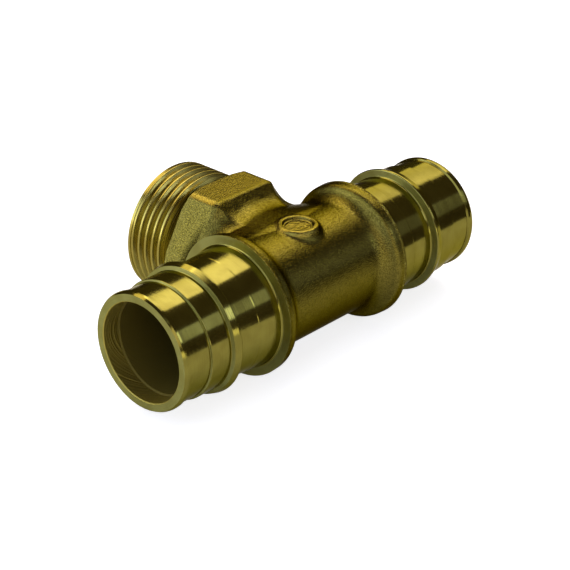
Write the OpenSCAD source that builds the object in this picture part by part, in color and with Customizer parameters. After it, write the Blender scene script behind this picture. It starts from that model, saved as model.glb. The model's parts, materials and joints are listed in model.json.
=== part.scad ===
// Brass tee for expansion-joined plastic pipe.
// The run lies along X with a ribbed spigot at each end. The branch points along +Y and ends in a
// male parallel pipe thread behind a forged hexagon. A round mark boss stands on top, along +Z.
// The origin is where the run's axis meets the branch's axis.

/* [Run] */
// Overall length of the run, from spigot face to spigot face
run_length = 81; // [74:0.5:100]
// Diameter of the forged barrel between the collars
barrel_d = 21.9; // [21:0.1:24]
// Diameter of the waterway through the run
run_bore_d = 18.6; // [14:0.1:19]
// Diameter of the machined mouth of each spigot
mouth_d = 19.2; // [19:0.1:20.2]
// Depth of the machined mouth
mouth_depth = 4.2; // [1:0.1:8]
// Width of the chamfer that breaks the mouth's edge
mouth_chamfer = 0.15; // [0.05:0.05:0.4]

/* [Spigot] */
// Diameter of the first land, behind the nose
spigot_d = 22.2; // [21.6:0.1:24]
// Length of the spigot, from its end face to the collar's stop face
spigot_length = 24; // [21:0.5:28]
// Height of the rounded nose above the first land
nose_rise = 0.36; // [0.1:0.02:0.6]
// Width of the nose's band
nose_w = 1.45; // [1:0.05:2]
// Drop from the nose's crest to the edge of the end face
nose_drop = 0.34; // [0.1:0.02:0.6]
// Distance from the end face to the step between the first two lands
step_at = 6.4; // [4:0.1:8]
// Height of the step up to the second land
step_rise = 0.43; // [0.2:0.01:0.6]
// Distance from the end face to the foot of the retaining ridge
ridge_at = 11; // [9:0.1:12]
// Height of the ridge's steep front above the second land
ridge_front = 0.9; // [0.4:0.05:1]
// Width of the ramp that rises from the front to the crest
ridge_ramp_w = 1.3; // [0.8:0.1:3]
// Height of the ridge's crest above the second land
ridge_rise = 1.15; // [1:0.05:1.4]
// Width of the crest
ridge_crest_w = 0.3; // [0.1:0.1:1]
// Width of the steep face behind the crest
ridge_back_w = 1.4; // [0.6:0.1:2]
// Depth of the root land's low end, below the second land
waist_depth = 0.45; // [0.2:0.05:0.9]
// Rise of the tapered root land towards the collar
root_rise = 0.7; // [0.3:0.05:1]
// Radius of the fillet between the spigot and the stop face
root_fillet = 0.45; // [0.2:0.05:0.8]

/* [Collar] */
// Diameter of the collar at its machined stop face
collar_d = 27.56; // [27:0.1:32]
// Width of the collar's rim
collar_w = 2.5; // [1.5:0.1:4]
// Draft of the rim: how much its radius falls towards the barrel
collar_draft = 0.25; // [0.05:0.05:0.6]
// Radius of the rim's forged inner edge
collar_edge_r = 0.9; // [0.4:0.1:1.2]
// Radius of the fillet between the collar and the barrel
collar_fillet = 1.6; // [0.8:0.1:2.2]
// Slope of the collar's back face, in degrees from square
collar_back_angle = 20; // [5:1:35]

/* [Branch] */
// Distance from the run's axis to the threaded end
branch_length = 32.5; // [30:0.5:44]
// Major diameter of the male pipe thread
thread_d = 26.44; // [26:0.1:30]
// Diameter of the waterway through the branch
branch_bore_d = 18; // [12:0.1:18.6]
// Width of the chamfer on the thread's end
thread_chamfer = 0.5; // [0.4:0.1:1.2]
// Width of the relief groove between the hexagon and the thread
relief_w = 1.8; // [1:0.1:2.6]
// Depth of the relief groove below the thread's major diameter
relief_depth = 1.35; // [0.8:0.05:2]
// Distance from one crest of the thread to the next
thread_pitch = 1.814; // [1.6:0.02:2]
// Depth of the thread, from crest to root
thread_depth = 1.16; // [0.8:0.04:1.2]
// Width of the chamfer inside the branch's mouth
branch_mouth_chamfer = 0.8; // [0.2:0.1:1.2]

/* [Hexagon] */
// Distance across the hexagon's flats
hex_af = 26.6; // [25:0.1:30]
// Distance from the run's axis to the hexagon's run side
hex_at = 13.7; // [12.5:0.1:16]
// Width of the hexagon's flats along the branch
hex_w = 7.3; // [5:0.1:10]
// Cut that rounds the hexagon's six corners, measured along the radius
hex_corner_cut = 0.3; // [0.1:0.05:0.6]
// Width of the turned chamfer on the hexagon's thread side
hex_chamfer = 0.5; // [0.2:0.1:1]

/* [Neck] */
// Diameter of the forged neck between the barrel and the hexagon
neck_d = 20.8; // [20:0.1:21]
// Length of the sloped shoulder that spreads the neck to the hexagon
shoulder_l = 3.4; // [2:0.1:4.5]
// Radius of the web that blends the neck into the barrel
crotch_r = 5.5; // [3:0.1:7]

/* [Mark boss] */
// Outer diameter of the boss at its top
boss_d = 8.4; // [7.4:0.1:11]
// Height of the boss above the top of the barrel
boss_h = 0.75; // [0.4:0.05:1.5]
// Draft of the boss: how much wider its radius is at the barrel
boss_draft = 0.5; // [0.1:0.1:1]
// Diameter of the shallow dish in the boss
dish_d = 6.3; // [5:0.1:6.6]
// Depth of the dish
dish_depth = 0.65; // [0.3:0.05:1.2]

/* [Hidden] */

brass = [0.72, 0.6, 0.3];
round_fn = 96;
arc_steps = 5;
overlap = 0.5;
past = 1;

half_run = run_length / 2;
barrel_r = barrel_d / 2;
bore_r = run_bore_d / 2;
mouth_r = mouth_d / 2;
land_1_r = spigot_d / 2;
nose_r = land_1_r + nose_rise;
land_2_r = land_1_r + step_rise;
ridge_r = land_2_r + ridge_rise;
waist_r = land_2_r - waist_depth;
root_r = waist_r + root_rise;
collar_r = collar_d / 2;
rim_r = collar_r - collar_draft;
neck_r = neck_d / 2;
thread_r = thread_d / 2;
relief_r = thread_r - relief_depth;
branch_bore_r = branch_bore_d / 2;
hex_end = hex_at + hex_w;
hex_corner_r = hex_af / sqrt(3);
hex_round_r = hex_corner_r - hex_corner_cut;
thread_at = hex_end + relief_w;
thread_crest_w = thread_pitch * 0.2;
thread_flank_w = (thread_pitch - 2 * thread_crest_w) / 2;
thread_runs = floor((branch_length - thread_chamfer - thread_at) / thread_pitch);
step_w = step_rise;
ridge_front_w = ridge_front * 0.45;
ridge_crest_at = ridge_at + ridge_front_w + ridge_ramp_w;
waist_at = ridge_crest_at + ridge_crest_w + ridge_back_w;
boss_top = barrel_r + boss_h;

// Points of an arc about [x, r], from angle a to angle b.
function arc(x, r, radius, a, b) =
    [for (i = [0:arc_steps]) let (t = a + (b - a) * i / arc_steps) [x + radius * cos(t), r + radius * sin(t)]];

// Distances are measured from the spigot's end face towards the collar, as [distance, radius].
function nose_points() = [
    [0, nose_r - nose_drop],
    [nose_w * 0.25, nose_r - nose_drop * 0.3],
    [nose_w * 0.6, nose_r],
    [nose_w, nose_r - nose_rise * 0.1],
    [nose_w + nose_rise * 0.7, land_1_r]
];

function land_points() = [
    [step_at, land_1_r],
    [step_at + step_w, land_2_r],
    [ridge_at, land_2_r],
    [ridge_at + ridge_front_w, land_2_r + ridge_front],
    [ridge_crest_at, ridge_r],
    [ridge_crest_at + ridge_crest_w, ridge_r],
    [waist_at, waist_r]
];

function root_points() =
    arc(spigot_length - root_fillet, root_r + root_fillet, root_fillet, -90, 0);

// The back face leans by collar_back_angle and meets the rim and the barrel in tangent arcs.
edge_x = spigot_length + collar_w - collar_edge_r;
edge_r = rim_r - collar_edge_r;
lean = collar_back_angle;
edge_end = [edge_x + collar_edge_r * cos(lean), edge_r + collar_edge_r * sin(lean)];
fillet_r0 = barrel_r + collar_fillet;
fillet_start_r = fillet_r0 - collar_fillet * sin(lean);
fillet_x = edge_end[0] + (edge_end[1] - fillet_start_r) * tan(lean) + collar_fillet * cos(lean);

function collar_points() = concat(
    [[spigot_length, collar_r - 0.15], [spigot_length + 0.15, collar_r]],
    arc(edge_x, edge_r, collar_edge_r, 90, lean),
    arc(fillet_x, fillet_r0, collar_fillet, 180 + lean, 270)
);

end_points = concat(nose_points(), land_points(), root_points(), collar_points());

// Both ends of the run's outline, as [radius, x], for the revolve about the run's axis.
run_outline = concat(
    [[0, -half_run]],
    [for (p = end_points) [p[1], p[0] - half_run]],
    [for (i = [len(end_points) - 1:-1:0]) [end_points[i][1], half_run - end_points[i][0]]],
    [[0, half_run]]
);

module along_x() {
    rotate([0, 90, 0]) children();
}

module along_y() {
    rotate([-90, 0, 0]) children();
}

module run_forging() {
    along_x() rotate_extrude($fn = round_fn) polygon(run_outline);
}

module hexagon(across_flats) {
    circle(r = across_flats / sqrt(3), $fn = 6);
}

// Hexagon with turned corners and a chamfer on the side of the thread.
module hexagon_nut() {
    intersection() {
        translate([0, 0, hex_at]) linear_extrude(height = hex_w) hexagon(hex_af);
        rotate_extrude($fn = round_fn) polygon([
            [0, hex_at - overlap],
            [hex_round_r, hex_at - overlap],
            [hex_round_r, hex_end - hex_chamfer * 0.6],
            [hex_round_r - hex_chamfer, hex_end],
            [0, hex_end]
        ]);
    }
}

// Sloped shoulder from the round neck to the hexagon.
module shoulder() {
    hull() {
        translate([0, 0, hex_at - shoulder_l]) cylinder(r = neck_r, h = 0.05, $fn = 30);
        translate([0, 0, hex_at]) linear_extrude(height = 0.05) hexagon(hex_af - hex_corner_cut * 2);
    }
}

// One root of the thread, whose first crest ends at y, as [radius, y].
function root_at(y) = [
    [thread_r, y],
    [thread_r - thread_depth, y + thread_flank_w],
    [thread_r - thread_depth, y + thread_flank_w + thread_crest_w],
    [thread_r, y + thread_pitch - thread_crest_w]
];

// The thread is drawn as rings of its true pitch and depth.
module threaded_end() {
    rotate_extrude($fn = round_fn) polygon(concat(
        [
            [0, hex_end - overlap],
            [relief_r, hex_end - overlap],
            [relief_r, thread_at - relief_depth * 0.5],
            [thread_r, thread_at]
        ],
        [for (i = [0:thread_runs - 1]) each root_at(thread_at + thread_crest_w + i * thread_pitch)],
        [
            [thread_r, branch_length - thread_chamfer],
            [thread_r - thread_chamfer, branch_length],
            [0, branch_length]
        ]
    ));
}

// Web in the crotch between neck and barrel: a flared ring about the branch, kept within a bar
// that lies along the run, so that it dies away towards the top and the underside.
module crotch_web() {
    flare_top = barrel_r + crotch_r;
    bar_r = neck_r * 0.9;
    intersection() {
        along_y() rotate_extrude($fn = round_fn) polygon(concat(
            [[0, 0], [neck_r + crotch_r, 0]],
            [for (i = [0:arc_steps * 2]) let (t = 90 * i / (arc_steps * 2))
                [neck_r + crotch_r - crotch_r * sin(t), flare_top - crotch_r * cos(t)]],
            [[0, flare_top]]
        ));
        translate([0, flare_top - bar_r, 0]) along_x()
            cylinder(r = bar_r, h = 2 * (neck_r + crotch_r + past), center = true, $fn = round_fn);
    }
}

module branch_forging() {
    along_y() {
        cylinder(r = neck_r, h = hex_at, $fn = round_fn);
        shoulder();
        hexagon_nut();
        threaded_end();
    }
}

module mark_boss() {
    rotate_extrude($fn = round_fn) polygon([
        [0, barrel_r * 0.8],
        [boss_d / 2 + boss_draft, barrel_r * 0.8],
        [boss_d / 2 + boss_draft, barrel_r - boss_h * 0.4],
        [boss_d / 2, boss_top],
        [dish_d / 2, boss_top],
        [dish_d / 2 - 0.2, boss_top - dish_depth],
        [0, boss_top - dish_depth]
    ]);
}

module run_waterway() {
    along_x() rotate_extrude($fn = round_fn) polygon([
        [0, -half_run - past],
        [mouth_r + mouth_chamfer, -half_run - past],
        [mouth_r + mouth_chamfer, -half_run],
        [mouth_r, -half_run + mouth_chamfer],
        [mouth_r, -half_run + mouth_depth],
        [bore_r, -half_run + mouth_depth + (mouth_r - bore_r)],
        [bore_r, half_run - mouth_depth - (mouth_r - bore_r)],
        [mouth_r, half_run - mouth_depth],
        [mouth_r, half_run - mouth_chamfer],
        [mouth_r + mouth_chamfer, half_run],
        [mouth_r + mouth_chamfer, half_run + past],
        [0, half_run + past]
    ]);
}

module branch_waterway() {
    along_y() rotate_extrude($fn = round_fn) polygon([
        [0, 0],
        [branch_bore_r, 0],
        [branch_bore_r, branch_length - branch_mouth_chamfer],
        [branch_bore_r + branch_mouth_chamfer, branch_length],
        [branch_bore_r + branch_mouth_chamfer, branch_length + past],
        [0, branch_length + past]
    ]);
}

module tee_body() {
    color(brass) difference() {
        union() {
            run_forging();
            branch_forging();
            crotch_web();
            mark_boss();
        }
        run_waterway();
        branch_waterway();
    }
}

tee_body();
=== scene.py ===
"""Dressed model of a forged brass pipe tee, built over its packed construction model.

The tee is made as the real one is: a forging is shaped as one skin, the ends are turned, the
thread is cut and the waterways are bored. The work is in millimetres, and the finished piece is
put in metres.
"""

import json
import logging
import math
from dataclasses import dataclass
from enum import Enum
from functools import cached_property

import bmesh
import bpy
import numpy as np
from bmesh.types import BMesh
from bpy.types import ID, Material, Node, NodeSocket, Object
from mathutils import Matrix, Vector


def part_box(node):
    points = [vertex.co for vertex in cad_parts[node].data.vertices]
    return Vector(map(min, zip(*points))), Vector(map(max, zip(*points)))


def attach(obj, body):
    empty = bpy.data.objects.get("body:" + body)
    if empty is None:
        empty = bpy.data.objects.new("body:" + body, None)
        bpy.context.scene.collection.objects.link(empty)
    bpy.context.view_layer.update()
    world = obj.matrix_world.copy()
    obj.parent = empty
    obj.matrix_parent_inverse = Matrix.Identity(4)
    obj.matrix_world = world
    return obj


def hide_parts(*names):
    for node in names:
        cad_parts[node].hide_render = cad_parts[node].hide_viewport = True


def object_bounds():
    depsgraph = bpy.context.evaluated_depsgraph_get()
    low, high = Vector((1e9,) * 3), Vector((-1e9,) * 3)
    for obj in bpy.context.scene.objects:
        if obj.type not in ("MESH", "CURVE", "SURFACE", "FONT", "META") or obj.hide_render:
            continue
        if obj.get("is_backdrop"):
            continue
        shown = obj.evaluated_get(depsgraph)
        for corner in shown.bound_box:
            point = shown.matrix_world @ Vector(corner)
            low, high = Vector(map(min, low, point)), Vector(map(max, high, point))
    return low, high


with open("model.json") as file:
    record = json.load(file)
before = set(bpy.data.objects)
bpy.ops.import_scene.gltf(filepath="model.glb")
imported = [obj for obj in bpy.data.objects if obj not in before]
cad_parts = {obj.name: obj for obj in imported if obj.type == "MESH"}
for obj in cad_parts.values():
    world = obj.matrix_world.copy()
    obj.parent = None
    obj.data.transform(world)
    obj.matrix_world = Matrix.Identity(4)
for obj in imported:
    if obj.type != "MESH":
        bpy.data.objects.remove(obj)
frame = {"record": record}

LOG = logging.getLogger("tee")
BODY = "root"
NODE = "tee_body"
MM = 0.001
FULL_TURN = 2 * math.pi

# Millimetres that blanks and tools run past the work, and those within which points merge
SPARE = 1.0
WELD = 1e-5
CLOSE = 1e-4

Pair = tuple[float, float]
Triple = tuple[float, float, float]
Colour = tuple[float, float, float, float]
Outline = list[Pair]
Points = np.ndarray
Values = np.ndarray


class Axis(Enum):
    """Axis that a turned shape is spun about."""

    RUN = (1.0, 0.0, 0.0)
    BRANCH = (0.0, 1.0, 0.0)

    def place(self, station: float, radius: float) -> Triple:
        """Point of an outline in space, with its radius laid out along Z."""
        along = Vector(self.value) * station
        return (along.x, along.y, radius)


class Cut(Enum):
    """How a tool meets the work."""

    REMOVE = "DIFFERENCE"
    JOIN = "UNION"
    KEEP_COMMON = "INTERSECT"


class Skin(Enum):
    """Finish of each face, by its material index."""

    FORGED = 0
    TURNED = 1
    THREADED = 2
    BORED = 3
    FACED = 4


def mount_sizes(name: str) -> dict[str, float]:
    """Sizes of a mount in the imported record.

    Args:
        name: Name of the mount.

    Returns:
        Its radius and its place along its own axis, in millimetres.
    """
    mount = next(m for m in frame["record"]["mounts"] if m["name"] == name)
    place = sum(p * a for p, a in zip(mount["pos_m"], mount["axis"]))
    return {"radius": mount["dims"].get("r_mm", 0.0), "at": place / MM}


def arc(centre: Pair, radius: float, start: float, end: float, steps: int) -> Outline:
    """Points along an arc.

    Args:
        centre: Centre of the arc.
        radius: Radius of the arc.
        start: First angle, in degrees.
        end: Last angle, in degrees.
        steps: Number of chords.

    Returns:
        The arc's points, both ends included.
    """
    angles = [math.radians(start + (end - start) * i / steps) for i in range(steps + 1)]
    return [(centre[0] + radius * math.cos(a), centre[1] + radius * math.sin(a)) for a in angles]


def softened(points: list[Triple], steps: int = 4, share: float = 0.45) -> Outline:
    """Rounds the corners of an outline.

    Args:
        points: Corners as station, radius and the corner's rounding radius.
        steps: Chords in each rounded corner.
        share: Largest share of a straight that one rounding takes.

    Returns:
        The outline with an arc in place of each corner that has a rounding radius.
    """
    out: Outline = []
    for i, (s, r, rounding) in enumerate(points):
        here = Vector((s, r))
        if rounding <= 0 or i in (0, len(points) - 1):
            out.append((s, r))
            continue
        back = Vector(points[i - 1][:2]) - here
        on = Vector(points[i + 1][:2]) - here
        half = back.angle(on) / 2
        reach = min(rounding / math.tan(half), back.length * share, on.length * share)
        start = here + back.normalized() * reach
        end = here + on.normalized() * reach
        for k in range(steps + 1):
            t = k / steps
            point = start * (1 - t) ** 2 + here * (2 * t * (1 - t)) + end * t**2
            out.append((point.x, point.y))
    return out


def held(outline: Outline, margin: float = 0.05) -> Outline:
    """Adds points near the ends of each straight, so that it shades as a straight.

    Args:
        outline: The outline.
        margin: Distance of the added points from the ends. Shorter straights than 8 of it stay.

    Returns:
        The outline with its added points.
    """
    out = [outline[0]]
    for start, end in zip(outline, outline[1:]):
        first, last = Vector(start), Vector(end)
        way = last - first
        if way.length > 8 * margin:
            step = way.normalized() * margin
            out += [tuple(first + step), tuple(last - step)]
        out.append(end)
    return out


def linked(name: str, data: ID) -> Object:
    """Makes an object and links it to the scene.

    Args:
        name: Name of the object.
        data: Its mesh, lamp or camera.

    Returns:
        The object, at the origin.
    """
    holder = bpy.data.objects.new(name, data)
    bpy.context.scene.collection.objects.link(holder)
    return holder


def finished(bm: BMesh, name: str, skin: Skin) -> Object:
    """Turns a bmesh into an object with one finish on all its faces.

    Args:
        bm: The closed shape. It is freed.
        name: Name of the object.
        skin: Finish of its faces.

    Returns:
        The object, linked to the scene.
    """
    bmesh.ops.recalc_face_normals(bm, faces=bm.faces)
    mesh = bpy.data.meshes.new(name)
    for _ in Skin:
        mesh.materials.append(None)
    for face in bm.faces:
        face.material_index = skin.value
        face.smooth = True
    bm.to_mesh(mesh)
    bm.free()
    return linked(name, mesh)


def drum(
    bm: BMesh, middle: Matrix, radius: float, height: float, sides: int, capped: bool = True
) -> None:
    """Adds a drum that stands on the Z axis of a matrix.

    Args:
        bm: The shape that it is added to.
        middle: Place and turn of the drum's centre.
        radius: Its radius.
        height: Its height.
        sides: Number of its sides.
        capped: Whether its ends are closed.
    """
    bmesh.ops.create_cone(
        bm, cap_ends=capped, segments=sides, radius1=radius, radius2=radius, depth=height,
        matrix=middle,
    )


def spun(name: str, outline: Outline, axis: Axis, steps: int, skin: Skin) -> Object:
    """Spins an outline into a closed shell.

    Args:
        name: Name of the object.
        outline: Station and radius of each point. Both ends lie on the axis.
        axis: Axis to spin about.
        steps: Facets in a full turn.
        skin: Finish of the faces.

    Returns:
        The turned object.
    """
    bm = bmesh.new()
    verts = [bm.verts.new(axis.place(s, r)) for s, r in held(outline)]
    edges = [bm.edges.new(pair) for pair in zip(verts, verts[1:])]
    bmesh.ops.spin(
        bm, geom=verts + edges, cent=(0, 0, 0), axis=axis.value, dvec=(0, 0, 0), angle=FULL_TURN,
        steps=steps, use_merge=True, use_duplicate=False,
    )
    bmesh.ops.remove_doubles(bm, verts=bm.verts, dist=WELD)
    return finished(bm, name, skin)


def work(target: Object, tool: Object, cut: Cut) -> None:
    """Works a tool into a target and clears the tool away.

    Args:
        target: Closed object that is changed.
        tool: Closed object that is used up.
        cut: How the two meet.
    """
    modifier = target.modifiers.new(cut.name, "BOOLEAN")
    modifier.operation = cut.value
    modifier.solver = "MANIFOLD"
    modifier.object = tool
    bake_modifiers(target)
    bpy.data.objects.remove(tool)


def bake_modifiers(target: Object) -> None:
    """Applies an object's modifiers to its mesh.

    Args:
        target: The object.
    """
    bpy.context.view_layer.update()
    graph = bpy.context.evaluated_depsgraph_get()
    mesh = bpy.data.meshes.new_from_object(target.evaluated_get(graph))
    old = target.data
    target.modifiers.clear()
    target.data = mesh
    bpy.data.meshes.remove(old)


def round_join(a: Values, b: Values, radius: Values | float) -> Values:
    """Joins two forms with a round fillet between them.

    Args:
        a: Distance of each point from the first form.
        b: Distance of each point from the second form.
        radius: Radius of the fillet.

    Returns:
        Distance from the joined form.
    """
    inner = np.hypot(np.maximum(radius - a, 0), np.maximum(radius - b, 0))
    return np.maximum(radius, np.minimum(a, b)) - inner


def round_common(a: Values, b: Values, radius: Values | float) -> Values:
    """Keeps what two forms have in common, with a rounded edge.

    Args:
        a: Distance of each point from the first form.
        b: Distance of each point from the second form.
        radius: Radius of the edge.

    Returns:
        Distance from the common form.
    """
    return -round_join(-a, -b, radius)


@dataclass(frozen=True)
class RunSizes:
    """Sizes of the run, in millimetres."""

    half_length: float
    bore_r: float
    stop_at: float
    collar_r: float
    barrel_r: float = 10.95
    collar_w: float = 2.5
    rim_draft: float = 0.15
    rim_edge_r: float = 0.7
    collar_fillet: float = 2.2
    collar_lean: float = math.radians(20)
    mouth_r: float = 9.6
    mouth_depth: float = 3.5
    mouth_break: float = 0.15
    mouth_taper: float = 0.3


@dataclass(frozen=True)
class BranchSizes:
    """Sizes of the branch, in millimetres."""

    length: float
    thread_r: float
    bore_r: float
    neck_r: float = 10.4
    hex_af: float = 26.6
    hex_at: float = 13.7
    hex_w: float = 7.3
    hex_corner_cut: float = 0.3
    hex_edge_r: float = 0.25
    run_edge_r: float = 0.32
    chamfer_in: float = 1.1
    chamfer_w: float = 0.75
    shoulder_l: float = 3.4
    shoulder_blend: float = 1.8
    crotch_r: float = 7.2
    crest_share: float = 0.34
    crotch_from: float = -1.0
    crotch_fade_w: float = 4.0
    relief_w: float = 1.8
    relief_depth: float = 1.35
    end_chamfer: float = 0.5
    lip_break: float = 0.14
    mouth_chamfer: float = 0.8

    @property
    def hex_end(self) -> float:
        """Distance from the run's axis to the hexagon's thread side."""
        return self.hex_at + self.hex_w

    @property
    def corner_r(self) -> float:
        """Radius of the hexagon's corners, which are cut back a little."""
        return self.hex_af / math.sqrt(3) - self.hex_corner_cut


@dataclass(frozen=True)
class BossSizes:
    """Sizes of the round boss on top, in millimetres."""

    at: Pair = (-0.4, -0.8)
    top_r: float = 3.9
    top_z: float = 11.6
    root_z: float = 6.0
    draft: float = 0.35
    edge_r: float = 0.45
    foot_r: float = 0.6
    dish_r: float = 2.9
    dish_depth: float = 0.65
    dish_edge_r: float = 0.3


@dataclass(frozen=True)
class ForgedForm:
    """The forging's form, as a distance from any point to its skin."""

    run: RunSizes
    branch: BranchSizes
    boss: BossSizes
    probe: float = 0.02
    longest_move: float = 0.6
    least_steepness: float = 0.25

    def barrel(self, p: Points) -> Values:
        """Distance of points from the round barrel."""
        return np.hypot(p[:, 1], p[:, 2]) - self.run.barrel_r

    def collars(self, p: Points) -> Values:
        """Distance of points from both collars, which run on past their stop faces.

        Args:
            p: Points, one a row.

        Returns:
            Their distances, negative inside.
        """
        size = self.run
        along = np.abs(p[:, 0])
        radius = np.hypot(p[:, 1], p[:, 2])
        slope = size.rim_draft / size.collar_w
        rim = radius - (size.collar_r - slope * (size.stop_at - along))
        lean = size.collar_lean
        edge_r = size.collar_r - size.rim_draft - size.rim_edge_r * (1 - math.sin(lean))
        edge_at = size.stop_at - size.collar_w + size.rim_edge_r * (1 - math.cos(lean))
        back = (edge_at - (edge_r - radius) * math.tan(lean) - along) * math.cos(lean)
        ends = along - size.stop_at - SPARE
        return np.maximum(round_common(rim, back, size.rim_edge_r), ends)

    def hexagon(self, p: Points) -> Values:
        """Distance of points from the hexagon's six planes, rounded where they meet.

        Args:
            p: Points, one a row.

        Returns:
            Their distances, negative inside.
        """
        size = self.branch
        half = size.hex_af / 2
        x, z = np.abs(p[:, 0]), p[:, 2]
        upper = x * math.cos(math.radians(30)) + z * 0.5 - half
        lower = x * math.cos(math.radians(30)) - z * 0.5 - half
        sides = round_common(upper, lower, size.hex_edge_r)
        return round_common(sides, np.abs(z) - half, size.hex_edge_r)

    def stem(self, p: Points) -> Values:
        """Distance of points from the neck, the shoulder and the hexagon.

        Args:
            p: Points, one a row.

        Returns:
            Their distances, negative inside.
        """
        size = self.branch
        radius = np.hypot(p[:, 0], p[:, 2])
        flats = self.hexagon(p)
        rise = (size.hex_af / 2 - size.neck_r) / size.shoulder_l
        slope = (flats + (size.hex_at - p[:, 1]) * rise) / math.hypot(1, rise)
        block = round_common(flats, slope, size.run_edge_r)
        block = np.maximum(block, radius - size.corner_r)
        block = np.maximum(block, p[:, 1] - size.hex_end - SPARE)
        neck = np.maximum(radius - size.neck_r, p[:, 1] - size.hex_at)
        return np.maximum(round_join(neck, block, size.shoulder_blend), -p[:, 1])

    def distance(self, p: Points) -> Values:
        """Distance of points from the forging.

        Args:
            p: Points, one a row.

        Returns:
            Their distances, negative inside.
        """
        x, y, z = p.T
        size = self.branch
        around = np.maximum(np.hypot(y, z) * np.hypot(x, z), 1e-6)
        turn = np.minimum(2 - 2 * z**2 / around, 1.0)
        fade = np.clip((y - size.crotch_from) / size.crotch_fade_w, 0.0, 1.0)
        fade = fade**2 * (3 - 2 * fade)
        share = size.crest_share + (1 - size.crest_share) * turn
        blend = size.crotch_r * share * fade + 1e-3
        skin = round_join(self.barrel(p), self.stem(p), blend)
        skin = round_join(skin, self.collars(p), self.run.collar_fillet)
        return self.with_boss(p, skin)

    def with_boss(self, p: Points, skin: Values) -> Values:
        """Adds the boss and its dish.

        Args:
            p: Points, one a row.
            skin: Their distances from the rest of the forging.

        Returns:
            Their distances from the whole.
        """
        boss = self.boss
        radius = np.hypot(p[:, 0] - boss.at[0], p[:, 1] - boss.at[1])
        side = radius - boss.top_r - (boss.top_z - p[:, 2]) * boss.draft
        disc = round_common(side / math.hypot(1, boss.draft), p[:, 2] - boss.top_z, boss.edge_r)
        disc = np.maximum(disc, boss.root_z - p[:, 2])
        floor_z = boss.top_z - boss.dish_depth
        dish = round_common(radius - boss.dish_r, floor_z - p[:, 2], boss.dish_edge_r)
        return round_common(round_join(skin, disc, boss.foot_r), -dish, boss.dish_edge_r)

    def settle(self, points: Points, rounds: int) -> Points:
        """Moves points onto the forging's skin.

        Args:
            points: Points near the skin, one a row.
            rounds: Number of steps.

        Returns:
            The moved points.
        """
        for _ in range(rounds):
            here = self.distance(points)
            slopes = [
                (self.distance(points + step) - self.distance(points - step)) / (2 * self.probe)
                for step in np.eye(3) * self.probe
            ]
            slope = np.stack(slopes, axis=1)
            steepness = np.maximum((slope**2).sum(axis=1), self.least_steepness)
            move = slope * (here / steepness)[:, None]
            points = points - np.clip(move, -self.longest_move, self.longest_move)
        return points


@dataclass
class Forging:
    """The forging before any turning: one closed skin with soft blends."""

    form: ForgedForm
    voxel: float = 0.36
    near_boss: tuple[float, ...] = (6.2, 5.4)
    cap_share: float = 0.7
    hex_lead: float = 1.5
    hex_spare: float = 0.5
    sides: int = 64
    passes: int = 8
    rounds: int = 3

    def rough(self) -> Object:
        """Stacks rough blanks whose union has the forging's layout.

        Returns:
            The blanks as one object.
        """
        run, branch, boss = self.form.run, self.form.branch, self.form.boss
        end = run.stop_at + SPARE
        back = run.stop_at - run.collar_w
        hex_from, hex_r = branch.hex_at - self.hex_lead, branch.hex_af / 2 + self.hex_spare
        stem_end = branch.hex_end + SPARE
        blanks = [
            (Axis.RUN, -end, end, run.barrel_r),
            (Axis.RUN, -end, -back, run.collar_r),
            (Axis.RUN, back, end, run.collar_r),
            (Axis.BRANCH, 0.0, stem_end, branch.neck_r),
            (Axis.BRANCH, hex_from, stem_end, hex_r),
        ]
        bm = bmesh.new()
        for axis, start, stop, radius in blanks:
            way = Vector(axis.value)
            turn = Vector((0, 0, 1)).rotation_difference(way).to_matrix().to_4x4()
            middle = Matrix.Translation(way * (start + stop) / 2) @ turn
            drum(bm, middle, radius, stop - start, self.sides)
        middle = Matrix.Translation((*boss.at, boss.top_z / 2))
        drum(bm, middle, boss.top_r, boss.top_z, self.sides)
        return finished(bm, "forging", Skin.FORGED)

    def relax(self, bm: BMesh) -> None:
        """Evens out the skin's faces and settles them on the form.

        Args:
            bm: The skin.
        """
        for _ in range(self.passes):
            bmesh.ops.smooth_vert(
                bm, verts=bm.verts, factor=0.5, use_axis_x=True, use_axis_y=True, use_axis_z=True
            )
            self.settle(bm, 1)
        self.settle(bm, self.rounds)

    def settle(self, bm: BMesh, rounds: int) -> None:
        """Moves a skin's vertices onto the form.

        Args:
            bm: The skin.
            rounds: Number of steps.
        """
        points = self.form.settle(np.array([v.co for v in bm.verts]), rounds)
        for vert, point in zip(bm.verts, points):
            vert.co = point

    def refine(self, bm: BMesh, radius: float) -> None:
        """Splits the faces on and round the boss.

        Args:
            bm: The skin.
            radius: Distance from the boss's axis that is split.
        """
        floor = self.form.run.barrel_r * self.cap_share
        caps = [v for v in bm.verts if v.co.z > floor]
        near = {v for v in caps if math.hypot(v.co.x, v.co.y) < radius}
        edges = [e for e in bm.edges if e.verts[0] in near and e.verts[1] in near]
        bmesh.ops.subdivide_edges(bm, edges=edges, cuts=1, use_grid_fill=True)
        bmesh.ops.triangulate(bm, faces=[f for f in bm.faces if len(f.verts) > 4])
        self.settle(bm, self.rounds)

    def build(self) -> Object:
        """Makes the forging.

        Returns:
            One closed object.
        """
        piece = self.rough()
        remesh = piece.modifiers.new("skin", "REMESH")
        remesh.mode = "VOXEL"
        remesh.voxel_size = self.voxel
        bake_modifiers(piece)
        bm = bmesh.new()
        bm.from_mesh(piece.data)
        self.relax(bm)
        for radius in self.near_boss:
            self.refine(bm, radius)
        bm.to_mesh(piece.data)
        bm.free()
        return piece


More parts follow.
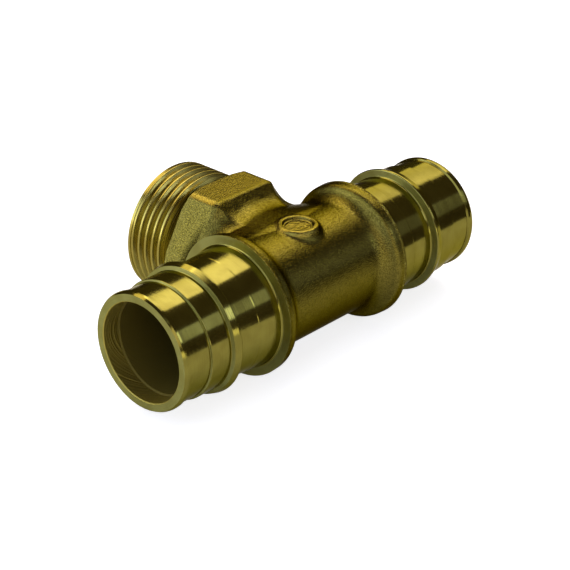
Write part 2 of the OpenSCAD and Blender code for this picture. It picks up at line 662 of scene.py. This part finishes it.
@dataclass(frozen=True)
class Spigot:
    """Ribbed spigot, as turned: distances run from its end face towards the collar."""

    run: RunSizes
    land_1_r: float = 11.1
    nose_rise: float = 0.36
    nose_w: float = 1.45
    nose_drop: float = 0.34
    step_at: float = 6.4
    step_w: float = 0.12
    step_rise: float = 0.43
    ridge_at: float = 11.15
    ridge_front: float = 0.8
    ridge_lean: float = 0.3
    ridge_ramp_w: float = 1.2
    ridge_rise: float = 1.15
    ridge_crest_w: float = 0.4
    crest_round: float = 0.28
    ridge_back_w: float = 0.65
    hollow_gap: float = 0.2
    hollow_share: float = 0.22
    waist_depth: float = 0.45
    root_rise: float = 0.7
    root_line_at: float = 18.6
    root_line_w: float = 0.12
    root_line_dip: float = 0.02
    root_line_lift: float = 0.04
    root_fillet: float = 0.45
    rim_gap: float = 0.6
    root_in: float = 0.7
    steps: int = 160

    def outline(self) -> Outline:
        """Outer outline of the spigot, from its end face to the rim of the stop face.

        Returns:
            Station and radius of each point.
        """
        length = self.run.half_length - self.run.stop_at
        nose_r = self.land_1_r + self.nose_rise
        land_2_r = self.land_1_r + self.step_rise
        crest_r = land_2_r + self.ridge_rise
        ramp_at = self.ridge_at + self.ridge_front * self.ridge_lean
        crest_at = ramp_at + self.ridge_ramp_w
        waist_at = crest_at + self.ridge_crest_w + self.ridge_back_w
        waist_r = land_2_r - self.waist_depth
        root_r = waist_r + self.root_rise
        line_r = waist_r + self.root_rise * (self.root_line_at - waist_at) / (length - waist_at)
        corners = [
            (0.0, nose_r - self.nose_drop, 0.0),
            (self.nose_w * 0.3, nose_r - self.nose_drop * 0.25, 0.3),
            (self.nose_w * 0.6, nose_r, 0.4),
            (self.nose_w, nose_r - self.nose_rise * 0.1, 0.08),
            (self.nose_w + self.nose_rise * 0.6, self.land_1_r, 0.06),
            (self.step_at, self.land_1_r, 0.08),
            (self.step_at + self.step_w, land_2_r, 0.12),
            (self.ridge_at, land_2_r, 0.1),
            (ramp_at, land_2_r + self.ridge_front, 0.1),
            (crest_at, crest_r, 0.15),
        ]
        edge = (crest_at + self.ridge_crest_w - self.crest_round, crest_r - self.crest_round)
        corners += [(s, r, 0.0) for s, r in arc(edge, self.crest_round, 90, 12, 6)]
        hollow_w = self.ridge_back_w - self.hollow_gap
        hollow_h = (crest_r - waist_r) * self.hollow_share
        corners += [
            (waist_at - hollow_w * c, waist_r + hollow_h * (1 - s), 0.0)
            for c, s in arc((0.0, 0.0), 1.0, 0, 90, 10)
        ]
        corners += [
            (self.root_line_at, line_r - self.root_line_dip, 0.0),
            (self.root_line_at + self.root_line_w, line_r + self.root_line_lift, 0.0),
        ]
        inner = (length - self.root_fillet, root_r + self.root_fillet)
        fillet = arc(inner, self.root_fillet, -90, 0, 5)
        return softened(corners) + fillet + [(length, self.run.collar_r - self.rim_gap)]

    def build(self, side: int) -> Object:
        """Makes the turned end with its stop face.

        Args:
            side: -1 for the near end of the run, 1 for the far end.

        Returns:
            A closed solid that reaches into the collar.
        """
        run = self.run
        inside = run.half_length - run.stop_at + self.root_in
        points = [(0.0, 0.0)] + self.outline()
        points += [(inside, run.collar_r - self.root_in), (inside, 0.0)]
        placed = [(side * (run.half_length - s), r) for s, r in points]
        return spun(f"spigot_{side}", placed, Axis.RUN, self.steps, Skin.TURNED)


@dataclass(frozen=True)
class PipeThread:
    """Male parallel pipe thread with its relief groove and end chamfer."""

    branch: BranchSizes
    pitch: float = 1.814
    depth: float = 1.06
    root_round: float = 0.17
    crest_round: float = 0.16
    flank: float = 27.5
    phase: float = 0.5
    lead_w: float = 0.75
    lead_in: float = 0.5
    overlap: float = 1.2
    rod_in: float = 2.0
    rod_trim: float = 0.3
    spare_turns: int = 3
    clear: float = 0.01
    steps: int = 88

    def one_pitch(self) -> Outline:
        """Outline of one pitch, from root to root.

        Returns:
            Station and radius of each point.
        """
        crest_r, flank = self.branch.thread_r, math.radians(self.flank)
        foot = (0.0, crest_r - self.depth + self.root_round)
        root = arc(foot, self.root_round, -90, -self.flank, 3)
        high = crest_r - self.crest_round * (1 - math.sin(flank))
        foot_at, foot_r = root[-1]
        crest_at = foot_at + (high - foot_r) * math.tan(flank) + self.crest_round * math.cos(flank)
        top = (crest_at, crest_r - self.crest_round)
        crest = arc(top, self.crest_round, 180 - self.flank, 90, 3)
        rise = root + crest + [(self.pitch / 2, crest_r)]
        fall = [(self.pitch - s, r) for s, r in reversed(rise[:-1])]
        return rise + fall

    def helix(self) -> Object:
        """Long threaded rod that is later trimmed.

        Returns:
            A closed rod with the thread's helix.
        """
        branch = self.branch
        start = branch.hex_end - self.rod_in
        turns = math.ceil((branch.length - start) / self.pitch) + self.spare_turns
        bm = bmesh.new()
        first = start - self.pitch * (1 + self.phase)
        verts = [bm.verts.new(Axis.BRANCH.place(first + s, r)) for s, r in self.one_pitch()]
        edges = [bm.edges.new(pair) for pair in zip(verts, verts[1:])]
        bmesh.ops.spin(
            bm, geom=verts + edges, cent=(0, 0, 0), axis=Axis.BRANCH.value,
            dvec=(0, self.pitch / self.steps, 0), angle=FULL_TURN * turns,
            steps=self.steps * turns, use_merge=False, use_duplicate=False,
        )
        bmesh.ops.remove_doubles(bm, verts=bm.verts, dist=CLOSE)
        for at, way in ((start + self.rod_trim, -1), (branch.length + self.lead_in, 1)):
            bmesh.ops.bisect_plane(
                bm, geom=bm.verts[:] + bm.edges[:] + bm.faces[:], plane_co=(0, at, 0),
                plane_no=(0, way, 0), clear_outer=True,
            )
            rim = [e for e in bm.edges if e.is_boundary and abs(e.verts[0].co.y - at) < CLOSE]
            bmesh.ops.holes_fill(bm, edges=rim, sides=0)
        return finished(bm, "helix", Skin.THREADED)

    def build(self) -> Object:
        """Makes the threaded end.

        Returns:
            A closed solid that reaches into the hexagon.
        """
        branch = self.branch
        relief_r = branch.thread_r - branch.relief_depth
        thread_at, clear_r = branch.hex_end + branch.relief_w, branch.thread_r + self.clear
        envelope = softened([
            (branch.hex_end - self.overlap, 0.0, 0.0),
            (branch.hex_end - self.overlap, relief_r, 0.0),
            (thread_at - branch.relief_depth * 0.6, relief_r, 0.3),
            (thread_at, clear_r, 0.0),
            (branch.length - branch.end_chamfer, clear_r, 0.0),
            (branch.length, branch.thread_r - branch.end_chamfer, 0.0),
            (branch.length, 0.0, 0.0),
        ])
        piece = spun("threaded_end", envelope, Axis.BRANCH, self.steps, Skin.THREADED)
        work(piece, self.helix(), Cut.KEEP_COMMON)
        start, full = branch.length - self.lead_w, branch.thread_r
        lead = [
            (start - self.lead_in, 0.0),
            (start - self.lead_in, full - self.depth),
            (start, full),
            (branch.length - branch.lip_break, full),
            (branch.length, full - branch.lip_break),
            (branch.length, 0.0),
        ]
        work(piece, spun("lead", lead, Axis.BRANCH, self.steps, Skin.THREADED), Cut.JOIN)
        return piece


@dataclass(frozen=True)
class Turning:
    """The lathe and drill work on the forging."""

    run: RunSizes
    branch: BranchSizes
    proud: float = 0.012
    reach: float = 20.0
    bite: float = 5.0
    steps: int = 160

    def face_collar(self, side: int) -> Object:
        """Tool that faces a collar off just behind its stop face.

        Args:
            side: -1 for the near end of the run, 1 for the far end.

        Returns:
            The tool, closed.
        """
        at = self.run.stop_at - self.proud
        past = at + self.bite
        outline = [(at, 0.0), (at, self.reach), (past, self.reach), (past, 0.0)]
        placed = [(side * s, r) for s, r in outline]
        return spun("facing", placed, Axis.RUN, self.steps, Skin.TURNED)

    def face_hexagon(self) -> Object:
        """Tool that faces the hexagon's thread side and turns its chamfer.

        Returns:
            The tool, closed.
        """
        size = self.branch
        end, past = size.hex_end, size.hex_end + self.bite
        outline = [
            (end, 0.0),
            (end, size.corner_r - size.chamfer_in),
            (end - size.chamfer_w, size.corner_r + 0.1),
            (end - size.chamfer_w, self.reach),
            (past, self.reach),
            (past, 0.0),
        ]
        return spun("hex_facing", outline, Axis.BRANCH, self.steps, Skin.TURNED)

    def run_waterway(self) -> Object:
        """Tool that bores the run and machines both mouths.

        Returns:
            The tool, closed.
        """
        size = self.run
        end, past = size.half_length, size.half_length + SPARE
        shelf = end - size.mouth_depth
        lip = size.mouth_r + size.mouth_break
        half = [(past, 0.0), (past, lip), (end, lip), (end - size.mouth_break, size.mouth_r)]
        half += [(shelf, size.mouth_r), (shelf - size.mouth_taper, size.bore_r)]
        outline = half + [(-s, r) for s, r in reversed(half)]
        return spun("run_bore", outline, Axis.RUN, self.steps, Skin.BORED)

    def branch_waterway(self) -> Object:
        """Tool that bores the branch.

        Returns:
            The tool, closed.
        """
        size = self.branch
        lip = size.bore_r + size.mouth_chamfer
        outline = [
            (0.0, 0.0),
            (0.0, size.bore_r),
            (size.length - size.mouth_chamfer, size.bore_r),
            (size.length, lip),
            (size.length + SPARE, lip),
            (size.length + SPARE, 0.0),
        ]
        return spun("branch_bore", outline, Axis.BRANCH, self.steps, Skin.BORED)


class Wire:
    """A shader value that can be used in sums and products."""

    def __init__(self, graph: "Graph", socket: NodeSocket) -> None:
        """Wraps an output socket of a graph."""
        self.graph = graph
        self.socket = socket

    def _with(self, operation: str, *values: "Wire | float") -> "Wire":
        """Value of a Math node on the given values."""
        return self.graph.value("ShaderNodeMath", {"operation": operation}, dict(enumerate(values)))

    def __add__(self, other: "Wire | float") -> "Wire":
        """Sum of two values."""
        return self._with("ADD", self, other)

    __radd__ = __add__

    def __sub__(self, other: "Wire | float") -> "Wire":
        """This value less another."""
        return self._with("SUBTRACT", self, other)

    def __rsub__(self, other: float) -> "Wire":
        """A number less this value."""
        return self._with("SUBTRACT", other, self)

    def __mul__(self, other: "Wire | float") -> "Wire":
        """Product of two values."""
        return self._with("MULTIPLY", self, other)

    __rmul__ = __mul__

    def larger(self, other: "Wire") -> "Wire":
        """The larger of two values."""
        return self._with("MAXIMUM", self, other)

    def radius_with(self, other: "Wire") -> "Wire":
        """Distance from an axis, of which the two values are the offsets."""
        return self._with("SQRT", self * self + other * other)

    def magnitude(self) -> "Wire":
        """This value without its sign."""
        return self._with("ABSOLUTE", self)

    def step(self, low: float, high: float) -> "Wire":
        """Smooth step of this value, from 0 at the low value to 1 at the high one."""
        inputs = {0: self, 1: low, 2: high, 3: 0.0, 4: 1.0}
        return self.graph.value("ShaderNodeMapRange", {"interpolation_type": "SMOOTHSTEP"}, inputs)


class Graph:
    """Node tree of one material, with a Principled shader at its end."""

    def __init__(self, name: str) -> None:
        """Makes the material.

        Args:
            name: Name of the material.
        """
        self.material = bpy.data.materials.new(name)
        self.material.use_nodes = True
        self.nodes = self.material.node_tree.nodes
        self.links = self.material.node_tree.links
        self.shader = self.nodes["Principled BSDF"]

    def node(self, kind: str, settings: dict, inputs: dict) -> Node:
        """Adds a node.

        Args:
            kind: The node's type.
            settings: Its properties, which are set first.
            inputs: Values or links of its sockets, by name or index.

        Returns:
            The node.
        """
        made = self.nodes.new(kind)
        for key, setting in settings.items():
            setattr(made, key, setting)
        self.feed(made, inputs)
        return made

    def feed(self, node: Node, inputs: dict) -> None:
        """Sets or links a node's inputs.

        Args:
            node: The node.
            inputs: Values or links of its sockets, by name or index.
        """
        for key, value in inputs.items():
            if isinstance(value, Wire):
                self.links.new(value.socket, node.inputs[key])
            else:
                node.inputs[key].default_value = value

    def value(self, kind: str, settings: dict, inputs: dict, output: int | str = 0) -> Wire:
        """Adds a node and gives one of its outputs."""
        return Wire(self, self.node(kind, settings, inputs).outputs[output])

    @cached_property
    def spot(self) -> Wire:
        """Object coordinates in millimetres, as one vector."""
        inputs = {0: self.value("ShaderNodeTexCoord", {}, {}, "Object"), "Scale": 1 / MM}
        return self.value("ShaderNodeVectorMath", {"operation": "SCALE"}, inputs)

    def place(self) -> tuple[Wire, Wire, Wire]:
        """Object coordinates in millimetres, as one value an axis."""
        split = self.node("ShaderNodeSeparateXYZ", {}, {0: self.spot})
        return tuple(Wire(self, split.outputs[i]) for i in range(3))

    def grain(self, scale: float, detail: float = 2.0, roughness: float = 0.5) -> Wire:
        """Noise over the object, from 0 to 1, with its scale in grains to the millimetre."""
        inputs = {"Vector": self.spot, "Scale": scale, "Detail": detail, "Roughness": roughness}
        return self.value("ShaderNodeTexNoise", {}, inputs)

    def rings(self, station: Wire, scale: float) -> Wire:
        """Noise that changes along one value only, as tool marks do."""
        inputs = {"W": station, "Scale": scale, "Detail": 3.0}
        return self.value("ShaderNodeTexNoise", {"noise_dimensions": "1D"}, inputs)

    def blend(self, factor: Wire, first: Wire | Colour, second: Wire | Colour) -> Wire:
        """Mixes two colours."""
        inputs = {"Factor": factor, 6: first, 7: second}
        return self.value("ShaderNodeMix", {"data_type": "RGBA"}, inputs, 2)

    def bump(self, height: Wire, distance: float) -> Wire:
        """Normal of a height, with the millimetres between its values 0 and 1."""
        inputs = {"Height": height, "Distance": distance * MM, "Strength": 1.0}
        return self.value("ShaderNodeBump", {}, inputs)

    def metal(
        self, colour: Wire, roughness: Wire, normal: Wire,
        edge: Colour = (0.7, 0.66, 0.42, 1.0), metallic: Wire | float = 1.0,
    ) -> Material:
        """Ends the graph in a metal surface.

        Args:
            colour: Base colour.
            roughness: Roughness.
            normal: Bumped normal.
            edge: Tint where the surface is seen at a grazing angle.
            metallic: Share of bare metal.

        Returns:
            The material.
        """
        self.feed(self.shader, {
            "Base Color": colour, "Roughness": roughness, "Normal": normal,
            "Specular Tint": edge, "Metallic": metallic,
        })
        return self.material

    def matt(self, colour: Colour, roughness: float) -> Material:
        """Ends the graph in a matt surface without highlights.

        Args:
            colour: Base colour.
            roughness: Roughness.

        Returns:
            The material.
        """
        inputs = {"Base Color": colour, "Roughness": roughness, "Specular IOR Level": 0.0}
        self.feed(self.shader, inputs)
        return self.material


@dataclass(frozen=True)
class ForgedFinish:
    """Sand-blasted forging skin: fine grain, soft mottling, painted sheen and glints, a lighter
    boss top.
    """

    run: RunSizes
    boss: BossSizes
    light: Colour = (0.21, 0.172, 0.031, 1.0)
    dark: Colour = (0.11, 0.089, 0.013, 1.0)
    # Lighter colour, painted as sheen on the hexagon's top flat and also laid on the boss top.
    lighter_top: Colour = (0.33, 0.262, 0.048, 1.0)
    # Pale colour of the painted glints on the collar rims.
    glint: Colour = (0.5, 0.46, 0.13, 1.0)
    edge: Colour = (0.35, 0.3, 0.1, 1.0)
    roughness: float = 0.19
    grain_height: float = 0.08

    def build(self) -> Material:
        """Makes the material.

        Returns:
            The material.
        """
        graph = Graph("forged_brass")
        x, y, z = graph.place()
        fine = graph.grain(4.0, 2.0, 0.6)
        mottle = graph.grain(0.7, 3.0, 0.6)
        wave = graph.grain(0.2, 2.0)
        tone = (mottle * 0.12 + fine * 0.88).step(0.38, 0.62)
        colour = graph.blend(tone, self.dark, self.light)
        from_boss = (x - self.boss.at[0]).radius_with(y - self.boss.at[1])
        # Painted sheen: the lighter colour on the hexagon's top flat, and the same lighter colour
        # on the boss top.
        painted_sheen_flat = y.step(14.0, 14.7) * z.step(12.2, 13.2)
        lighter_boss_top = from_boss.step(4.4, 4.1) * z.step(10.2, 10.8)
        dish = from_boss.step(2.6, 2.2) * z.step(9.0, 10.0)
        # Band at each collar rim: a rougher burr in the bump, and painted glints in the colour.
        burr_and_glints = x.magnitude().step(self.run.stop_at - 0.7, self.run.stop_at - 0.3)
        colour = graph.blend(painted_sheen_flat + lighter_boss_top * 0.8, colour, self.lighter_top)
        painted_glints = burr_and_glints * fine.step(0.5, 0.62) * mottle.step(0.4, 0.6)
        colour = graph.blend(painted_glints, colour, self.glint)
        roughness = fine * 0.16 + (self.roughness - 0.08)
        height = fine * (burr_and_glints * 2.0 + 1.0) + mottle * 0.14 + wave * 0.12
        height = height + graph.grain(1.5, 2.0, 0.6) * dish * 3.0
        return graph.metal(colour, roughness, graph.bump(height, self.grain_height), self.edge)


@dataclass(frozen=True)
class TurnedFinish:
    """Bright turned surface with fine tool rings about an axis."""

    name: str
    axis: Axis
    light: Colour = (0.275, 0.24, 0.045, 1.0)
    dark: Colour = (0.225, 0.192, 0.034, 1.0)
    roughness: float = 0.13
    ring_height: float = 0.011
    ring_scale: float = 4.5

    def build(self) -> Material:
        """Makes the material.

        Returns:
            The material.
        """
        graph = Graph(self.name)
        x, y, z = graph.place()
        along, across = (x, y) if self.axis is Axis.RUN else (y, x)
        station = along + across.radius_with(z)
        marks = graph.rings(station, self.ring_scale)
        stain = graph.grain(0.35, 3.0)
        tone = (stain * 0.7 + marks * 0.3).step(0.35, 0.65)
        colour = graph.blend(tone, self.dark, self.light)
        roughness = marks * 0.12 + (self.roughness - 0.06)
        return graph.metal(colour, roughness, graph.bump(marks, self.ring_height))


@dataclass(frozen=True)
class BoredFinish:
    """Bored waterway: bright machined mouths with painted light, dull and darker further in as
    painted shade.
    """

    run: RunSizes
    mouth_lit_colour: Colour = (0.5, 0.41, 0.08, 1.0)
    inner_shade_colour: Colour = (0.13, 0.1, 0.014, 1.0)
    ring_height: float = 0.13
    border: float = 0.05

    def build(self) -> Material:
        """Makes the material.

        Returns:
            The material.
        """
        graph = Graph("bored_brass")
        x, y, z = graph.place()
        shelf = self.run.half_length - self.run.mouth_depth
        mouth = x.magnitude().step(shelf - self.border, shelf + self.border)
        marks = graph.rings(x + y, 2.0)
        # The mouths' brighter colour is painted light, and the darker colour further in is painted
        # shade.
        colour = graph.blend(mouth, self.inner_shade_colour, self.mouth_lit_colour)
        roughness = 0.6 - mouth * 0.15 + marks * 0.1
        normal = graph.bump(marks * (mouth * 0.85 + 0.15), self.ring_height)
        return graph.metal(colour, roughness, normal, metallic=mouth * 0.5 + 0.5)


@dataclass
class Tee:
    """The whole tee: forging, turned ends, thread and waterways."""

    run: RunSizes
    branch: BranchSizes
    boss: BossSizes
    sharp: float = math.radians(32)
    faced: float = 0.93

    @classmethod
    def from_frame(cls) -> "Tee":
        """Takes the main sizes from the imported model.

        Returns:
            The tee, not yet built.
        """
        low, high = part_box(NODE)
        stop = mount_sizes("stop_face_far")["at"]
        run = RunSizes(high.x / MM, mount_sizes("run_waterway")["radius"], stop, high.z / MM)
        thread_r = mount_sizes("branch_thread")["radius"]
        branch = BranchSizes(high.y / MM, thread_r, mount_sizes("branch_waterway")["radius"])
        return cls(run, branch, BossSizes())

    def build(self) -> Object:
        """Makes the tee as one closed piece.

        Returns:
            The finished piece, in metres, on its body.
        """
        piece = Forging(ForgedForm(self.run, self.branch, self.boss)).build()
        LOG.info("forging: %d faces", len(piece.data.polygons))
        turning = Turning(self.run, self.branch)
        spigot = Spigot(self.run)
        for side in (-1, 1):
            work(piece, turning.face_collar(side), Cut.REMOVE)
            work(piece, spigot.build(side), Cut.JOIN)
        work(piece, turning.face_hexagon(), Cut.REMOVE)
        work(piece, PipeThread(self.branch).build(), Cut.JOIN)
        work(piece, turning.run_waterway(), Cut.REMOVE)
        work(piece, turning.branch_waterway(), Cut.REMOVE)
        self.dress(piece)
        return piece

    def dress(self, piece: Object) -> None:
        """Puts the piece in metres, on its body and in its finishes.

        Args:
            piece: The whole tee, in millimetres.
        """
        piece.name = "tee"
        mesh = piece.data
        mesh.name = "tee"
        mesh.transform(Matrix.Scale(MM, 4))
        mesh.shade_smooth()
        mesh.set_sharp_from_angle(angle=self.sharp)
        for face in mesh.polygons:
            if face.material_index == Skin.TURNED.value and abs(face.normal.x) > self.faced:
                face.material_index = Skin.FACED.value
        finishes = {
            Skin.FORGED: ForgedFinish(self.run, self.boss),
            Skin.TURNED: TurnedFinish("turned_brass", Axis.RUN),
            Skin.THREADED: TurnedFinish(
                "threaded_brass", Axis.BRANCH, light=(0.43, 0.355, 0.078, 1.0),
                dark=(0.35, 0.28, 0.055, 1.0), roughness=0.26,
            ),
            Skin.BORED: BoredFinish(self.run),
            # Faced surfaces have their own rougher finish; their brighter, greener colour is a
            # painted reflection of the cool light they face.
            Skin.FACED: TurnedFinish(
                "faced_brass", Axis.RUN, light=(0.32, 0.31, 0.09, 1.0),
                dark=(0.26, 0.245, 0.065, 1.0), roughness=0.4,
            ),
        }
        for skin, finish in finishes.items():
            mesh.materials[skin.value] = finish.build()
        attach(piece, BODY)
        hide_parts(NODE)
        triangles = sum(len(p.vertices) - 2 for p in mesh.polygons)
        LOG.info("tee: %d triangles", triangles)


@dataclass(frozen=True)
class View:
    """Camera at the photograph's viewing angle, in degrees and metres."""

    azimuth: float = -47.624
    elevation: float = 27.743
    roll: float = 0.518
    distance: float = 0.35008
    target: Triple = (-0.001921, 0.000944, -0.001502)
    focal_pixels: float = 1842.794
    picture_pixels: float = 570.0
    sensor: float = 36.0

    def build(self) -> None:
        """Makes the camera and gives it to the scene."""
        angles = (self.azimuth, self.elevation, self.roll)
        azimuth, elevation, roll = (math.radians(a) for a in angles)
        back = Vector((
            math.sin(azimuth) * math.cos(elevation),
            -math.cos(azimuth) * math.cos(elevation),
            math.sin(elevation),
        ))
        level = Vector((math.cos(azimuth), math.sin(azimuth), 0.0))
        upright = back.cross(level)
        right = level * math.cos(roll) + upright * math.sin(roll)
        up = upright * math.cos(roll) - level * math.sin(roll)
        camera = bpy.data.cameras.new("photo_view")
        camera.sensor_width = self.sensor
        camera.lens = self.focal_pixels * self.sensor / self.picture_pixels
        camera.clip_start = 0.01
        holder = linked("photo_view", camera)
        turn = Matrix((right, up, back)).transposed().to_4x4()
        centre = Vector(self.target) + back * self.distance
        holder.matrix_world = Matrix.Translation(centre) @ turn
        bpy.context.scene.camera = holder


@dataclass(frozen=True)
class Softbox:
    """A rectangular soft lamp that faces the tee."""

    name: str
    towards: Triple
    wide_axis: Triple
    distance: float
    width: float
    height: float
    level: float
    tint: Triple = (1.0, 1.0, 1.0)
    slide: Pair = (0.0, 0.0)
    in_metal: bool = True

    def build(self) -> None:
        """Makes the lamp."""
        lamp = bpy.data.lights.new(self.name, "AREA")
        lamp.shape = "RECTANGLE"
        lamp.size = self.width
        lamp.size_y = self.height
        lamp.color = self.tint
        lamp.energy = self.level * math.pi * self.width * self.height
        back = Vector(self.towards).normalized()
        wide = Vector(self.wide_axis)
        wide = (wide - back * wide.dot(back)).normalized()
        tall = back.cross(wide)
        turn = Matrix((wide, tall, back)).transposed().to_4x4()
        centre = back * self.distance + wide * self.slide[0] + tall * self.slide[1]
        holder = linked(self.name, lamp)
        holder.matrix_world = Matrix.Translation(centre) @ turn
        holder.visible_glossy = self.in_metal


@dataclass(frozen=True)
class Studio:
    """White table, a low dark fence that only reflections show, and the lamps."""

    floor_z: float
    radius: float = 3.0
    fence_r: float = 0.15
    fence_h: float = 0.034
    fence_open: float = 0.35
    sides: int = 96
    floor_colour: Colour = (0.62, 0.62, 0.62, 1.0)
    glow: float = 0.77
    mirrored_share: float = 0.16
    dusk: Colour = (0.085, 0.07, 0.055, 1.0)

    def table_top(self) -> Material:
        """White material that shows as the white background and keeps the tee's shadow.

        Returns:
            The material.
        """
        graph = Graph("white_table")
        graph.matt(self.floor_colour, 0.9)
        path = graph.node("ShaderNodeLightPath", {}, {})
        direct, mirrored, through = (
            Wire(graph, path.outputs[f"Is {kind} Ray"])
            for kind in ("Camera", "Glossy", "Transmission")
        )
        seen = direct.larger(mirrored * self.mirrored_share).larger(through)
        glow = graph.node("ShaderNodeEmission", {}, {"Strength": self.glow})
        plain = Wire(graph, graph.shader.outputs[0])
        both = graph.value("ShaderNodeAddShader", {}, {0: plain, 1: Wire(graph, glow.outputs[0])})
        shown = graph.value("ShaderNodeMixShader", {}, {0: seen, 1: plain, 2: both})
        graph.feed(graph.nodes["Material Output"], {"Surface": shown})
        return graph.material

    def part(self, name: str, bm: BMesh, material: Material) -> Object:
        """Makes one part of the studio, which isn't part of the tee.

        Args:
            name: Name of the part.
            bm: Its shape. It is freed.
            material: Its material.

        Returns:
            The part, linked to the scene.
        """
        mesh = bpy.data.meshes.new(name)
        bm.to_mesh(mesh)
        bm.free()
        mesh.materials.append(material)
        holder = linked(name, mesh)
        holder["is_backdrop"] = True
        return holder

    def build_table(self) -> None:
        """Makes the table and the fence."""
        top = bmesh.new()
        level = Matrix.Translation((0, 0, self.floor_z))
        bmesh.ops.create_circle(
            top, cap_ends=True, radius=self.radius, segments=self.sides, matrix=level
        )
        self.part("table", top, self.table_top())
        ring = bmesh.new()
        middle = Matrix.Translation((0, 0, self.floor_z + self.fence_h / 2))
        drum(ring, middle, self.fence_r, self.fence_h, self.sides, capped=False)
        open_to = self.fence_r * self.fence_open
        near_side = [f for f in ring.faces if f.calc_center_median().x < open_to]
        bmesh.ops.delete(ring, geom=near_side, context="FACES")
        fence = self.part("fence", ring, Graph("fence_cloth").matt(self.dusk, 1.0))
        fence.visible_camera = False
        fence.visible_diffuse = False
        fence.visible_shadow = False

    def build_lamps(self) -> None:
        """Makes the lamps."""
        warm, cool, white = (1.0, 0.91, 0.95), (0.87, 1.0, 1.45), (1.0, 1.0, 1.0)
        amber, straw, cream = (1.0, 0.84, 0.6), (1.0, 0.9, 0.65), (1.0, 0.95, 0.8)
        above, across = (0.6, 0.25, 0.73), (0.315, -0.947, 0.066)
        ahead, tilted = (0.46, -0.5445, 0.341), (0.116, 0.513, 0.8)
        level, upright = (1, 0, 0), (0, 0, 1)
        lamps = [
            Softbox("key", above, across, 0.7, 0.5, 0.47, 3.0, warm, (-0.06, -0.165)),
            Softbox("key_far", above, across, 0.7, 0.37, 0.43, 1.65, warm, (-0.035, 0.285)),
            Softbox("strip", ahead, tilted, 0.79, 0.25, 0.2, 0.8, cool),
            Softbox("strip_far", ahead, tilted, 0.79, 0.25, 0.2, 0.16, cool, (0.0, -0.2)),
            Softbox("back_high", (0.02, 0.64, 0.77), level, 0.9, 0.64, 0.35, 2.6, amber),
            Softbox("left_back", (-0.73, 0.597, 0.38), upright, 0.7, 0.4, 0.4, 2.2, cool),
            Softbox("left_low", (-0.8, 0.59, 0.06), upright, 0.7, 0.4, 0.14, 2.4, straw),
            Softbox("left", (-0.82, -0.12, 0.5), upright, 0.9, 0.9, 0.7, 1.1, cool),
            Softbox("front_left", (-0.5, -0.68, 0.5), upright, 0.9, 0.5, 0.4, 1.3, warm),
            Softbox("front_low", (-0.25, -0.96, 0.01), level, 0.8, 0.8, 0.2, 2.1, cream),
            Softbox("front", (0.17, -0.83, 0.53), upright, 0.9, 0.28, 0.28, 2.6, cool),
            Softbox("top", upright, level, 1.2, 1.4, 1.4, 0.9, white, in_metal=False),
        ]
        for lamp in lamps:
            lamp.build()

    def build(self) -> None:
        """Makes the studio and sets how its light is shown."""
        self.build_table()
        self.build_lamps()
        world = bpy.data.worlds.new("studio")
        world.use_nodes = True
        backdrop = world.node_tree.nodes["Background"].inputs
        backdrop["Color"].default_value = self.dusk
        backdrop["Strength"].default_value = 1.0
        bpy.context.scene.world = world
        bpy.context.scene.view_settings.view_transform = "Standard"


def corners(bounds: tuple) -> list[list[float]]:
    """Box corners as plain lists.

    Args:
        bounds: Low and high corner.

    Returns:
        The same corners.
    """
    return [[float(c) for c in corner] for corner in bounds]


def main() -> None:
    """Builds the tee, the studio and the camera."""
    logging.basicConfig(level=logging.INFO, format="%(name)s: %(message)s")
    built = corners(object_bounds())
    View().build()
    tee = Tee.from_frame()
    tee.build()
    Studio(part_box(NODE)[0].z).build()
    dressed = corners(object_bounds())
    LOG.info("boxes: %s and %s", built, dressed)


if __name__ == "__main__":
    main()
